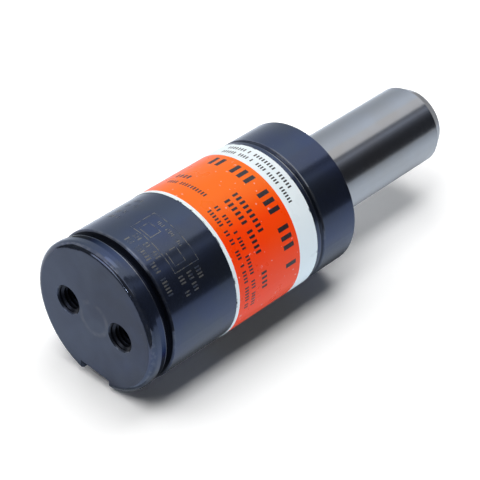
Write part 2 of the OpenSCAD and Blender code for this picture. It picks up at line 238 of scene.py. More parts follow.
class DieSpringSizes(bpy.types.PropertyGroup):
    """Sizes of what is added to the solids."""

    base_pitch: length("Base thread pitch", "Pitch of the two fixing threads", 1.25 * MM)
    tip_pitch: length("Tip thread pitch", "Pitch of the service thread in the rod", 1.0 * MM)
    thread_reach: FloatProperty(
        name="Thread reach", description="Height of a thread ridge as a share of its pitch", default=0.54
    )
    thread_rim: length("Thread rim", "Depth of the countersink above each thread", 0.5 * MM)
    base_thread_length: length("Base thread length", "Length of the fixing threads", 7.4 * MM)
    tip_thread_length: length("Tip thread length", "Length of the service thread", 11 * MM)
    thread_seat: length("Thread seat", "How far a ridge is sunk into its wall", 0.02 * MM)
    ink_thickness: length("Ink thickness", "How far the print stands above the film", 0.012 * MM)
    laser_thickness: length("Laser mark thickness", "How far the mark stands above the steel", 0.006 * MM)
    laser_line: length("Laser line", "Width of the laser-marked frame's line", 0.28 * MM)
    coil_wire: length("Coil wire", "Radius of the valve spring's wire", 0.15 * MM)
    label_edge: length("Label edge", "Width of the white edge below the coloured field", 1.2 * MM)
    label_band: length("Label band", "Width of the white band above the coloured field", 7.35 * MM)


class DieSpringStage(bpy.types.PropertyGroup):
    """Camera, floor and light."""

    azimuth: angle("Azimuth", "Direction of the camera about the axis", 37.29)
    elevation: angle("Elevation", "Direction of the camera above the base plane", -36.10)
    roll: angle("Roll", "Turn of the camera about its own line of sight", 57.95)
    distance: length("Distance", "Distance from the camera to what it looks at", 0.517)
    target: FloatVectorProperty(
        name="Target", description="Point that the camera looks at", size=3, unit="LENGTH",
        default=(-0.00097, 0.00605, 0.05852),
    )
    lens: FloatProperty(
        name="Lens", description="Focal length of the camera in millimetres", default=134.92
    )
    up_angle: angle("Up", "Direction that faces up about the axis, with the spring on its side", -95.97)
    floor_size: length("Floor size", "Half the side of the floor", 2.0)
    floor_level: level("Floor level", "How pale the floor is", 1.22)
    lamp_distance: length("Lamp distance", "Distance of the lamps from the axis", 1.0)
    lamp_length: length("Lamp length", "Length of the lamps along the axis", 1.5)
    lamp_forward: length("Lamp shift", "How far the lamps stand towards the base's side", 0.07)
    key_width: length("Key width", "Width of the overhead lamp", 0.32)
    key_power: watts("Key power", "Power of the overhead lamp", 6.5)
    fill_width: length("Fill width", "Width of the second overhead lamp", 0.46)
    fill_power: watts("Fill power", "Power of the second overhead lamp", 5.0)
    left_width: length("Left width", "Width of the low lamp behind the spring", 0.50)
    left_power: watts("Left power", "Power of the low lamp behind", 4.9)
    right_width: length("Right width", "Width of the low lamp in front", 0.13)
    right_power: watts("Right power", "Power of the low lamp in front", 3.3)
    ambient_up: level("Ambient above", "Soft light from above", 0.02)
    ambient_down: level("Ambient below", "Soft light from the floor's side", 1.20)
    ambient_tint: colour("Ambient tint", "Colour of the light from the floor's side", (0.78, 0.89, 1.0))
    card_distance: length("Card distance", "Distance of the grey cards from the axis", 0.5)


# Shader nodes

def add(tree, kind, inputs=None, **settings):
    """Adds a node, sets its properties, and fills its inputs with values or links."""
    node = tree.nodes.new(kind)
    for name, value in settings.items():
        setattr(node, name, value)
    for key, value in (inputs or {}).items():
        fill(tree, node.inputs[key], value)
    return node


def fill(tree, socket, value):
    if isinstance(value, bpy.types.NodeSocket):
        tree.links.new(value, socket)
    else:
        socket.default_value = value


def calc(tree, operation, *values, clamp=False):
    node = add(tree, "ShaderNodeMath", dict(enumerate(values)), operation=operation, use_clamp=clamp)
    return node.outputs[0]


def ramp(tree, value, low, high, to_low=0.0, to_high=1.0):
    """Maps low to to_low and high to to_high, smoothly and without going past them."""
    node = add(
        tree, "ShaderNodeMapRange",
        {"Value": value, "From Min": low, "From Max": high, "To Min": to_low, "To Max": to_high},
        interpolation_type="SMOOTHSTEP",
    )
    return node.outputs["Result"]


def mix(tree, factor, first, second):
    node = add(tree, "ShaderNodeMix", data_type="RGBA")
    for socket, value in zip((node.inputs[0], node.inputs[6], node.inputs[7]), (factor, first, second)):
        fill(tree, socket, value if isinstance(value, (float, bpy.types.NodeSocket)) else (*value, 1))
    return node.outputs[2]


def noise(tree, vector, scale, detail=2.0, roughness=0.5):
    values = {"Vector": vector, "Scale": scale, "Detail": detail, "Roughness": roughness}
    return add(tree, "ShaderNodeTexNoise", values).outputs["Fac"]


def object_place(tree):
    """The place on the object, and its three parts."""
    place = add(tree, "ShaderNodeTexCoord").outputs["Object"]
    parts = add(tree, "ShaderNodeSeparateXYZ", {0: place}).outputs
    return place, parts[0], parts[1], parts[2]


def axis_distance(tree, x, y):
    return calc(tree, "SQRT", calc(tree, "ADD", calc(tree, "MULTIPLY", x, x), calc(tree, "MULTIPLY", y, y)))


def away(tree, value, middle):
    """How far a value lies from a middle."""
    return calc(tree, "ABSOLUTE", calc(tree, "SUBTRACT", value, middle))


def dot(tree, place, direction):
    """How far a place lies along a direction."""
    values = {0: place, 1: direction}
    return add(tree, "ShaderNodeVectorMath", values, operation="DOT_PRODUCT").outputs["Value"]


def facing_up(tree):
    """The part of the surface's normal that lies along the spring's axis."""
    normal = add(tree, "ShaderNodeTexCoord").outputs["Normal"]
    return add(tree, "ShaderNodeSeparateXYZ", {0: normal}).outputs[2]


def group_tree(name, inputs, output):
    """A new shader node group with named values going in and one coming out."""
    tree = bpy.data.node_groups.new(name, "ShaderNodeTree")
    for socket, default in inputs.items():
        made = tree.interface.new_socket(name=socket, in_out="INPUT", socket_type="NodeSocketFloat")
        made.default_value = default
    tree.interface.new_socket(name=output, in_out="OUTPUT", socket_type="NodeSocketFloat")
    start = tree.nodes.new("NodeGroupInput")
    end = tree.nodes.new("NodeGroupOutput")
    return tree, start.outputs, end.inputs[output]


def turning_marks():
    """Fine lines that run round the axis, on round walls and on flat ends."""
    tree, given, height = group_tree("Turning marks", {"Fineness": 4000.0, "Drift": 60.0}, "Height")
    _, x, y, z = object_place(tree)
    along = calc(tree, "ADD", z, axis_distance(tree, x, y))
    stretched = add(tree, "ShaderNodeCombineXYZ", {
        0: calc(tree, "MULTIPLY", x, given["Drift"]),
        1: calc(tree, "MULTIPLY", y, given["Drift"]),
        2: calc(tree, "MULTIPLY", along, given["Fineness"]),
    })
    tree.links.new(noise(tree, stretched.outputs[0], 1.0, detail=3.0), height)
    return tree


def clouds():
    """Soft clouds, as heat and oil leave in an oxide or on ground steel."""
    tree, given, mask = group_tree("Clouds", {"Scale": 60.0}, "Mask")
    place = object_place(tree)[0]
    tree.links.new(ramp(tree, noise(tree, place, given["Scale"], detail=3.0), 0.35, 0.68), mask)
    return tree


def edge_wear():
    """Worn patches on chamfers, which lie neither along the axis nor across it."""
    tree, given, mask = group_tree("Edge wear", {"Scale": 350.0}, "Mask")
    tilt = calc(tree, "ABSOLUTE", facing_up(tree))
    chamfer = calc(tree, "MULTIPLY", ramp(tree, tilt, 0.25, 0.5), ramp(tree, tilt, 0.95, 0.8))
    broken = ramp(tree, noise(tree, object_place(tree)[0], given["Scale"], detail=4.0), 0.42, 0.62)
    tree.links.new(calc(tree, "MULTIPLY", chamfer, broken), mask)
    return tree


def specks():
    """Small scattered specks of dust and handling marks."""
    tree, given, mask = group_tree("Specks", {"Scale": 900.0, "Rarity": 0.70}, "Mask")
    grain = noise(tree, object_place(tree)[0], given["Scale"], detail=2.0)
    full = calc(tree, "ADD", given["Rarity"], 0.06)
    tree.links.new(ramp(tree, grain, given["Rarity"], full), mask)
    return tree


GROUP_MAKERS = {"Turning marks": turning_marks, "Clouds": clouds, "Edge wear": edge_wear, "Specks": specks}


def effect(tree, name, **values):
    """Places a shared effect in a material, with its own values."""
    shared = bpy.data.node_groups.get(name) or GROUP_MAKERS[name]()
    node = add(tree, "ShaderNodeGroup", node_tree=shared)
    for socket, value in values.items():
        node.inputs[socket].default_value = value
    return node.outputs[0]


def new_material(name, **constants):
    """A material with a Principled shader whose constant values are set on its own sockets."""
    material = bpy.data.materials.new(name)
    material.use_nodes = True
    tree = material.node_tree
    shader = tree.nodes["Principled BSDF"]
    for socket, value in constants.items():
        shader.inputs[socket.replace("_", " ")].default_value = value
    return material, tree, shader.inputs


def bump(tree, height, strength, distance):
    node = add(tree, "ShaderNodeBump", {"Strength": strength, "Distance": distance, "Height": height})
    return node.outputs["Normal"]


# Finishes

def oxide_steel(finish, highlight_side, darker_side):
    """Black oxide on turned steel, with a duller base face that is paler to one side and darker with
    clouds to the other, threaded holes and grooves darkened with deep oxide and painted shade, a polished
    rim, and lips that are bare with wear all round and brighter on one side as a painted highlight."""
    material, tree, shader = new_material("oxide_steel", Metallic=0.9)
    place, x, y, z = object_place(tree)
    across = axis_distance(tree, x, y)
    tilt = facing_up(tree)
    on_base = ramp(tree, tilt, -0.975, -0.995)
    rim = calc(tree, "MULTIPLY", ramp(tree, tilt, -0.15, -0.35), ramp(tree, tilt, -0.99, -0.96))
    # The base is paler towards one side and darker, with clouds, towards the other.
    darker_share = ramp(tree, dot(tree, place, darker_side), -BODY_R, BODY_R, 0.25, 1.1)
    base_darker = calc(tree, "MULTIPLY", on_base, darker_share)
    marks = effect(tree, "Turning marks", Fineness=5200.0, Drift=40.0)
    tint = mix(tree, effect(tree, "Clouds", Scale=85.0), finish.oxide, finish.oxide_blue)
    paler = calc(tree, "SUBTRACT", on_base, calc(tree, "MULTIPLY", base_darker, 0.8), clamp=True)
    tint = mix(tree, paler, tint, finish.oxide_pale)
    for scale, share in ((60.0, 0.75), (210.0, 0.35)):
        stain = calc(tree, "MULTIPLY", effect(tree, "Clouds", Scale=scale), base_darker)
        tint = mix(tree, calc(tree, "MULTIPLY", stain, share), tint, finish.oxide_stain)
    from_ring = away(tree, across, BASE_RING_R)
    ring = calc(tree, "MULTIPLY", ramp(tree, from_ring, 1.1 * MM, 0.2 * MM), on_base)
    ring = calc(tree, "MULTIPLY", ring, effect(tree, "Clouds", Scale=260.0))
    tint = mix(tree, calc(tree, "MULTIPLY", ring, 0.18), tint, finish.bare_edge_and_highlight)
    worn = calc(tree, "MULTIPLY", effect(tree, "Edge wear", Scale=700.0), 0.16)
    tint = mix(tree, worn, tint, finish.bare_edge_and_highlight)
    lead = calc(tree, "MULTIPLY", ramp(tree, z, LAND_LEAD - 0.2 * MM, LAND_LEAD + 0.2 * MM),
                ramp(tree, z, LAND_TOP - 0.2 * MM, LAND_TOP - 0.5 * MM))
    # Painted shade, in the deep oxide colour, darkens the inside of each groove.
    for height, half in GROOVES:
        inside = ramp(tree, away(tree, z, height), half, half - 0.15 * MM)
        inside = calc(tree, "MULTIPLY", inside, ramp(tree, across, BODY_R, BODY_R - 0.5 * MM))
        tint = mix(tree, calc(tree, "MULTIPLY", inside, 0.62), tint, finish.deep_oxide_and_shade)
    highlight_share = ramp(tree, dot(tree, place, highlight_side), 0.86 * BODY_R, 0.97 * BODY_R, 0.2, 1.0)
    # The lips are bare steel a little all round as wear, and fully on one side as a painted highlight.
    for height, share in LIPS_WORN_AND_LIT:
        lip_wear_and_highlight = ramp(tree, away(tree, z, height), 0.32 * MM, 0.14 * MM)
        lip_wear_and_highlight = calc(tree, "MULTIPLY", lip_wear_and_highlight, ramp(tree, across, BODY_R - 0.7 * MM, BODY_R - 0.5 * MM))
        lip_wear_and_highlight = calc(tree, "MULTIPLY", calc(tree, "MULTIPLY", lip_wear_and_highlight, highlight_share), share)
        tint = mix(tree, lip_wear_and_highlight, tint, finish.bare_edge_and_highlight)
    # Painted shade, in the deep oxide colour, darkens the inside of the fixing holes.
    from_hole = axis_distance(tree, calc(tree, "SUBTRACT", calc(tree, "ABSOLUTE", x), BASE_HOLE_X), y)
    in_hole = ramp(tree, from_hole, BASE_HOLE_R + 0.6 * MM, BASE_HOLE_R + 0.1 * MM)
    deep = calc(tree, "MULTIPLY", in_hole, ramp(tree, z, 12 * MM, 10 * MM))
    tint = mix(tree, calc(tree, "MULTIPLY", deep, 0.80), tint, finish.deep_oxide_and_shade)
    dust = calc(tree, "MULTIPLY", effect(tree, "Specks", Scale=1100.0, Rarity=0.70), 0.10)
    fill(tree, shader["Base Color"], mix(tree, dust, tint, finish.bare_edge_and_highlight))
    fill(tree, shader["Specular Tint"], mix(tree, lead, (1, 1, 1), (0, 0, 0)))
    sheen = calc(tree, "ADD", calc(tree, "MULTIPLY", marks, 0.07), ramp(tree, rim, 0, 1, 0.13, 0.06))
    duller = calc(tree, "MULTIPLY", calc(tree, "MAXIMUM", on_base, deep), 0.24)
    fill(tree, shader["Roughness"], calc(tree, "ADD", sheen, duller))
    fill(tree, shader["Normal"], bump(tree, marks, ramp(tree, rim, 0, 1, 0.10, 0.02), 0.01 * MM))
    return material


def rod_steel(finish):
    """Ground and hardened steel with fine lines round the rod."""
    material, tree, shader = new_material("rod_steel", Metallic=1.0)
    marks = effect(tree, "Turning marks", Fineness=9000.0, Drift=25.0)
    tint = mix(tree, effect(tree, "Clouds", Scale=55.0), finish.rod, finish.rod_warm)
    dust = calc(tree, "MULTIPLY", effect(tree, "Specks", Scale=1400.0, Rarity=0.72), 0.15)
    tip = ramp(tree, object_place(tree)[3], ROD_TOP - TIP_EDGE, ROD_TOP - TIP_EDGE + 0.4 * MM)
    fill(tree, shader["Base Color"], mix(tree, dust, tint, finish.oxide))
    fill(tree, shader["Specular Tint"], mix(tree, tip, (1, 1, 1), (0.70, 0.70, 0.71)))
    fill(tree, shader["Roughness"], calc(tree, "ADD", calc(tree, "MULTIPLY", marks, 0.10), 0.14))
    fill(tree, shader["Normal"], bump(tree, marks, 0.12, 0.008 * MM))
    return material


def label_film(finish, sizes, up):
    """Semi-gloss film with a coloured field painted more orange on its upward side and redder below, as
    painted light with a little cloudy tone, a white band above it and a white edge below it."""
    material, tree, shader = new_material("label_film", Metallic=0.0, Specular_IOR_Level=0.2)
    place, _, _, z = object_place(tree)
    toward_up = dot(tree, place, up)
    # Painted light: the field runs from red to orange towards the upward side, with a little cloudy tone.
    lit_share = calc(tree, "MULTIPLY", effect(tree, "Clouds", Scale=45.0), 0.10)
    lit_share = calc(tree, "ADD", ramp(tree, toward_up, 0.66 * LABEL_R, LABEL_R), lit_share, clamp=True)
    field = mix(tree, lit_share, finish.label_red_shaded, finish.label_orange_lit)
    above = calc(tree, "GREATER_THAN", z, LABEL_LOW + sizes.label_edge)
    below = calc(tree, "LESS_THAN", z, LABEL_TOP - sizes.label_band)
    tint = mix(tree, calc(tree, "MULTIPLY", above, below), finish.label_white, field)
    scuffs = calc(tree, "MULTIPLY", effect(tree, "Specks", Scale=700.0, Rarity=0.69), 0.35)
    tint = mix(tree, scuffs, tint, finish.label_white)
    from_low = calc(tree, "SUBTRACT", z, LABEL_LOW)
    to_edge = calc(tree, "MINIMUM", from_low, calc(tree, "SUBTRACT", LABEL_TOP, z))
    nicks = calc(tree, "MULTIPLY", ramp(tree, to_edge, 0.45 * MM, 0.1 * MM),
                 ramp(tree, noise(tree, place, 420.0, detail=3.0), 0.56, 0.66))
    tint = mix(tree, nicks, tint, finish.oxide)
    bounced = add(tree, "ShaderNodeLightPath").outputs["Is Diffuse Ray"]
    fill(tree, shader["Base Color"], mix(tree, bounced, tint, finish.deep_oxide_and_shade))
    waves = noise(tree, place, 160.0, detail=3.0)
    fill(tree, shader["Roughness"], calc(tree, "ADD", calc(tree, "MULTIPLY", waves, 0.14), 0.22))
    fill(tree, shader["Normal"], bump(tree, waves, 0.10, 0.05 * MM))
    return material


def print_ink(finish):
    """Black ink that lies unevenly on the film."""
    material, tree, shader = new_material("print_ink", Metallic=0.0)
    rubbed = calc(tree, "MULTIPLY", effect(tree, "Specks", Scale=1300.0, Rarity=0.60), 0.25)
    fill(tree, shader["Base Color"], mix(tree, rubbed, finish.ink, finish.oxide))
    grain = noise(tree, object_place(tree)[0], 900.0)
    fill(tree, shader["Roughness"], calc(tree, "ADD", calc(tree, "MULTIPLY", grain, 0.2), 0.30))
    return material


def laser_mark(finish):
    """Dull light oxide, patchy along the laser's lines."""
    material, tree, shader = new_material("laser_mark", Metallic=0.8)
    patchy = effect(tree, "Specks", Scale=800.0, Rarity=0.46)
    fill(tree, shader["Base Color"], mix(tree, patchy, finish.oxide, finish.laser))
    grain = noise(tree, object_place(tree)[0], 2500.0)
    fill(tree, shader["Roughness"], calc(tree, "ADD", calc(tree, "MULTIPLY", grain, 0.25), 0.38))
    return material


def turned_metal(name, tint, shade, fineness):
    """A plainly turned metal of the inner pieces."""
    material, tree, shader = new_material(name, Metallic=1.0)
    marks = effect(tree, "Turning marks", Fineness=fineness, Drift=30.0)
    fill(tree, shader["Base Color"], mix(tree, effect(tree, "Clouds", Scale=120.0), tint, shade))
    fill(tree, shader["Roughness"], calc(tree, "ADD", calc(tree, "MULTIPLY", marks, 0.16), 0.24))
    fill(tree, shader["Normal"], bump(tree, marks, 0.2, 0.02 * MM))
    return material


def moulded(name, tint, dull, grain_scale):
    """A moulded rubber or plastic with a fine grain and some dust."""
    material, tree, shader = new_material(name, Metallic=0.0)
    lighter = [min(1.0, 1.6 * part + 0.01) for part in tint]
    dusty = calc(tree, "MULTIPLY", effect(tree, "Clouds", Scale=200.0), 0.6)
    fill(tree, shader["Base Color"], mix(tree, dusty, tint, lighter))
    grain = noise(tree, object_place(tree)[0], grain_scale, detail=3.0)
    fill(tree, shader["Roughness"], calc(tree, "ADD", calc(tree, "MULTIPLY", grain, 0.2), dull))
    fill(tree, shader["Normal"], bump(tree, grain, 0.15, 0.03 * MM))
    return material


def paint(node, material):
    """Gives a solid its finish in every material slot."""
    mesh = frame["nodes"][node].data
    mesh.materials.clear()
    mesh.materials.append(material)


# Shapes

def finished_piece(name, bm, material, body):
    """Turns a bmesh into a piece that rides on a body and takes a finish."""
    bmesh.ops.remove_doubles(bm, verts=bm.verts, dist=1e-7)
    bmesh.ops.recalc_face_normals(bm, faces=bm.faces)
    mesh = bpy.data.meshes.new(name)
    bm.to_mesh(mesh)
    bm.free()
    mesh.materials.append(material)
    piece = bpy.data.objects.new(name, mesh)
    bpy.context.scene.collection.objects.link(piece)
    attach(piece, body)
    return piece


def sweep(bm, corners, centre, turn, steps, rise=0.0, axis=AXIS):
    """Spins a closed outline about an axis, and lifts it along that axis as it turns."""
    face = bm.faces.new([bm.verts.new(corner) for corner in corners])
    bmesh.ops.spin(
        bm, geom=[face, *face.edges, *face.verts], cent=centre, axis=axis,
        dvec=axis * (rise / steps), angle=turn, steps=steps, use_merge=False, use_duplicate=False,
    )


def thread_ridge(bm, centre, radius, pitch, reach, low, high, seat):
    """An inward helical ridge on the wall of a hole."""
    outer = radius + seat
    inner = radius - reach * pitch
    half = 0.44 * pitch
    crest = 0.06 * pitch
    corners = [
        centre + Vector((outer, 0, low)),
        centre + Vector((inner, 0, low + half - crest)),
        centre + Vector((inner, 0, low + half + crest)),
        centre + Vector((outer, 0, low + 2 * half)),
    ]
    turns = (high - low - 2 * half) / pitch
    sweep(bm, corners, centre, 2 * math.pi * turns, round(36 * turns), turns * pitch)


def curved_bar(bm, radius, thickness, low, high, start, end):
    """A thin bar that lies on the cylinder between two heights and two angles from the axis."""
    along = Vector((math.cos(start), math.sin(start), 0))
    corners = [
        along * (radius + out) + AXIS * height
        for out, height in ((-thickness, low), (thickness, low), (thickness, high), (-thickness, high))
    ]
    sweep(bm, corners, Vector((0, 0, 0)), end - start, max(2, math.ceil(math.degrees(end - start) / 2)))


def tick_row(bm, row, up_angle, radius, thickness):
    """A row of words, each a run of upright ticks."""
    unit = (row.end - row.start - row.gap * (len(row.words) - 1)) / sum(row.words)
    tick = row.tick * MM / radius
    pitch = 2 * tick
    at = up_angle + math.radians(row.start)
    for word in row.words:
        turn = math.radians(word * unit)
        for index in range(max(1, round(turn / pitch))):
            start = at + index * pitch
            curved_bar(bm, radius, thickness, row.low * MM, row.high * MM, start, start + tick)
        at += turn + math.radians(row.gap)


def open_frame(bm, radius, thickness, low, high, start, end, stroke):
    """An empty frame that lies on the cylinder."""
    turn = stroke / radius
    for edges in ((low, low + stroke, start, end), (high - stroke, high, start, end),
                  (low + stroke, high - stroke, start, start + turn),
                  (low + stroke, high - stroke, end - turn, end)):
        curved_bar(bm, radius, thickness, *edges)


# Operators

class DIESPRING_OT_finish_cylinder(bpy.types.Operator):
    """Gives the cylinder and its port plug a black oxide finish"""

    bl_idname = "diespring.finish_cylinder"
    bl_label = "Finish the cylinder"

    def execute(self, context):
        up, across = stage_axes(context.scene.die_spring_stage)
        # The side that gets the lips' painted highlight.
        turn = math.radians(LIP_HIGHLIGHT_DEGREES)
        highlight_side = up * math.cos(turn) + across * math.sin(turn)
        material = oxide_steel(context.scene.die_spring_finish, highlight_side, across)
        for node in ("cylinder_tube", "port_plug"):
            paint(node, material)
        return {"FINISHED"}


class DIESPRING_OT_finish_rod(bpy.types.Operator):
    """Gives the piston rod a ground finish"""

    bl_idname = "diespring.finish_rod"
    bl_label = "Finish the rod"

    def execute(self, context):
        paint("piston_rod", rod_steel(context.scene.die_spring_finish))
        return {"FINISHED"}


class DIESPRING_OT_finish_inner(bpy.types.Operator):
    """Gives the guide, piston, valve and seals their metals, rubbers and plastics"""

    bl_idname = "diespring.finish_inner"
    bl_label = "Finish the inner pieces"

    def execute(self, context):
        finish = context.scene.die_spring_finish
        makers = {
            "plain_steel": turned_metal("plain_steel", finish.steel, finish.rod_warm, 5000.0),
            "bronze": turned_metal("bronze", finish.bronze, [0.8 * part for part in finish.bronze], 4000.0),
            "seal_rubber": moulded("seal_rubber", finish.rubber, 0.50, 3000.0),
            "seal_plastic": moulded("seal_plastic", finish.seal, 0.40, 1500.0),
            "cap_plastic": moulded("cap_plastic", finish.cap, 0.38, 2200.0),
        }
        for subpart in frame["record"]["subparts"]:
            if subpart["material_slot"] in makers:
                paint(subpart["node"], makers[subpart["material_slot"]])
        return {"FINISHED"}


class DIESPRING_OT_label(bpy.types.Operator):
    """Gives the label its coloured field, white edges and bars of print"""

    bl_idname = "diespring.label"
    bl_label = "Print the label"

    def execute(self, context):
        finish = context.scene.die_spring_finish
        sizes = context.scene.die_spring_sizes
        stage = context.scene.die_spring_stage
        paint("label", label_film(finish, sizes, stage_axes(stage)[0]))
        bm = bmesh.new()
        for row in PRINT_ROWS:
            tick_row(bm, row, stage.up_angle, LABEL_R, sizes.ink_thickness)
        finished_piece("label_print", bm, print_ink(finish), "cylinder")
        return {"FINISHED"}


class DIESPRING_OT_laser_mark(bpy.types.Operator):
    """Marks the cylinder with a plain frame and rows of bars, as a laser does"""

    bl_idname = "diespring.laser_mark"
    bl_label = "Mark the cylinder"

    def execute(self, context):
        sizes = context.scene.die_spring_sizes
        up_angle = context.scene.die_spring_stage.up_angle
        bm = bmesh.new()
        for row in LASER_ROWS:
            tick_row(bm, row, up_angle, BODY_R, sizes.laser_thickness)
        for band in LASER_FRAMES:
            start, end = (up_angle + math.radians(edge) for edge in (band.start, band.end))
            open_frame(
                bm, BODY_R, sizes.laser_thickness, band.low * MM, band.high * MM, start, end,
                sizes.laser_line,
            )
        material = laser_mark(context.scene.die_spring_finish)
        finished_piece("laser_mark", bm, material, "cylinder")
        return {"FINISHED"}


class DIESPRING_OT_threads(bpy.types.Operator):
    """Cuts the look of a thread into the base holes and the hole in the rod's tip"""

    bl_idname = "diespring.threads"
    bl_label = "Add the threads"

    def execute(self, context):
        sizes = context.scene.die_spring_sizes
        bm = bmesh.new()
        for side in (-1, 1):
            thread_ridge(
                bm, Vector((side * BASE_HOLE_X, 0, 0)), BASE_HOLE_R, sizes.base_pitch, sizes.thread_reach,
                sizes.thread_rim, sizes.thread_rim + sizes.base_thread_length, sizes.thread_seat,
            )
        oxide = frame["nodes"]["cylinder_tube"].data.materials[0]
        finished_piece("base_threads", bm, oxide, "cylinder")
        bm = bmesh.new()
        top = ROD_TOP - sizes.thread_rim
        thread_ridge(
            bm, Vector((0, 0, 0)), TIP_HOLE_R, sizes.tip_pitch, sizes.thread_reach,
            top - sizes.tip_thread_length, top, sizes.thread_seat,
        )
        ground = frame["nodes"]["piston_rod"].data.materials[0]
        finished_piece("tip_thread", bm, ground, "rod")
        return {"FINISHED"}


class DIESPRING_OT_valve_coil(bpy.types.Operator):
    """Winds the valve's spring as a piece on the cylinder's body, with a mesh of its own, in place of the
    imported one
    """

    bl_idname = "diespring.valve_coil"
    bl_label = "Wind the valve spring"

    def execute(self, context):
        wire = context.scene.die_spring_sizes.coil_wire
        low, high = (Vector(corner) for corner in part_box("valve_spring"))
        mean = (high.x - low.x) / 2 - wire
        height = high.y - low.y
        foot = Vector(((low.x + high.x) / 2, low.y, (low.z + high.z) / 2))
        corners = [
            foot + Vector((mean + wire * math.cos(turn), wire + wire * math.sin(turn), 0))
            for turn in (index * math.pi / 4 for index in range(8))
        ]
        bm = bmesh.new()
        sweep(
            bm, corners, foot, 2 * math.pi * COIL_TURNS, 24 * COIL_TURNS, height - 2 * wire, COIL_AXIS
        )
        steel = frame["nodes"]["valve_spring"].data.materials[0]
        coil = finished_piece("valve_coil", bm, steel, "cylinder")
        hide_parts("valve_spring")
        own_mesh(coil)
        return {"FINISHED"}


# Stage

def stage_axes(stage):
    """Up from the floor, and across the axis towards the camera's side."""
    up = Vector((math.cos(stage.up_angle), math.sin(stage.up_angle), 0))
    return up, AXIS.cross(up)


def stage_plane(name, centre, side, along, material):
    """A flat plane with half sides given as two vectors, which is no part of the object."""
    facing = side.cross(along).normalized()
    placed = Matrix((side, along, facing)).transposed().to_4x4()
    placed.translation = centre
    bm = bmesh.new()
    bm.loops.layers.uv.verify()
    bmesh.ops.create_grid(bm, x_segments=1, y_segments=1, size=1, matrix=placed, calc_uvs=True)
    mesh = bpy.data.meshes.new(name)
    bm.to_mesh(mesh)
    bm.free()
    mesh.materials.append(material)
    plane = bpy.data.objects.new(name, mesh)
    bpy.context.scene.collection.objects.link(plane)
    return plane


def seen_only_by(plane, kind):
    """Hides a stage plane from every kind of ray but one."""
    for ray in ("camera", "diffuse", "glossy", "transmission", "volume_scatter", "shadow"):
        setattr(plane, "visible_" + ray, ray == kind)


def floor_finish(pale):
    """White floor that takes shadows, and that can be seen through from behind."""
    material = bpy.data.materials.new("floor_white")
    material.use_nodes = True
    tree = material.node_tree
    tree.nodes.clear()
    white = add(tree, "ShaderNodeBsdfDiffuse", {"Color": (pale, pale, pale, 1)})
    clear = add(tree, "ShaderNodeBsdfTransparent")
    behind = add(tree, "ShaderNodeNewGeometry").outputs["Backfacing"]
    blend = add(tree, "ShaderNodeMixShader", {0: behind, 1: white.outputs[0], 2: clear.outputs[0]})
    add(tree, "ShaderNodeOutputMaterial", {"Surface": blend.outputs[0]})
    return material


def card_material(name):
    """A material for a card, with its node tree and the places across and along the card from 0 to 1."""
    material = bpy.data.materials.new(name)
    material.use_nodes = True
    tree = material.node_tree
    tree.nodes.clear()
    place = add(tree, "ShaderNodeSeparateXYZ", {0: add(tree, "ShaderNodeTexCoord").outputs["UV"]})
    return material, tree, place.outputs[0], place.outputs[1]


def stop_colours(tree, place, stops, tint):
    """A colour that runs through stops, each a place from 0 to 1 and a level."""
    blend = add(tree, "ShaderNodeValToRGB", {"Fac": place})
    elements = blend.color_ramp.elements
    while len(elements) < len(stops):
        elements.new(1.0)
    for element, (at, grey) in zip(elements, stops):
        element.position = at
        element.color = (*(grey * part for part in tint), 1)
    return blend.outputs["Color"]


def glow(tree, light):
    """Makes a card shine with a colour."""
    emission = add(tree, "ShaderNodeEmission", {"Color": light, "Strength": 1.0})
    add(tree, "ShaderNodeOutputMaterial", {"Surface": emission.outputs[0]})


def card_finish(name, stops, tint):
    """A card whose level changes across it, given as places from 0 to 1 and levels."""
    material, tree, across, _ = card_material(name)
    glow(tree, stop_colours(tree, across, stops, tint))
    return material


def side_card(name, stage, stops, tint=(1, 1, 1), nearer=0.0, span=(-0.5, 1.3)):
    """A card beside the spring, from its first stop's angle to its last and between two places along the
    axis, seen only in reflections."""
    up, across = stage_axes(stage)
    first, last = stops[0][0], stops[-1][0]
    middle = math.radians((first + last) / 2)
    half = math.radians((last - first) / 2)
    outward = up * math.cos(middle) + across * math.sin(middle)
    side = across * math.cos(middle) - up * math.sin(middle)
    placed = [
        (0.5 + 0.5 * math.tan(math.radians(at) - middle) / math.tan(half), grey) for at, grey in stops
    ]
    distance = stage.card_distance - nearer
    card = stage_plane(
        name, outward * distance + AXIS * (sum(span) / 2), side * (distance * math.tan(half)),
        AXIS * ((span[1] - span[0]) / 2), card_finish(name, placed, tint),
    )
    seen_only_by(card, "glossy")


def near_floor(stage, span, body_stops, rod_stops):
    """The floor close to the spring with the shadows of its body and rod, seen only in reflections. The
    span along the axis and the stops' places across it are in millimetres, and both runs of stops have
    the same ends."""
    first, last = body_stops[0][0], body_stops[-1][0]
    material, tree, sideways, along = card_material("near_floor")
    height = ramp(tree, along, 0, 1, *span)
    shades = []
    for stops in (body_stops, rod_stops):
        placed = [((at - first) / (last - first), grey) for at, grey in stops]
        shades.append(stop_colours(tree, sideways, placed, FLOOR_TINT))
    shade = mix(tree, ramp(tree, height, 84, 100), *shades)
    bare = [body_stops[-1][1] * part for part in FLOOR_TINT]
    glow(tree, mix(tree, ramp(tree, height, 150, 175), shade, bare))
    up, across = stage_axes(stage)
    middle = across * ((first + last) / 2) + AXIS * (sum(span) / 2)
    strip = stage_plane(
        "near_floor", middle * MM - up * (LABEL_R + FLOOR_DROP), across * ((last - first) / 2 * MM),
        AXIS * ((span[1] - span[0]) / 2 * MM), material,
    )
    seen_only_by(strip, "glossy")


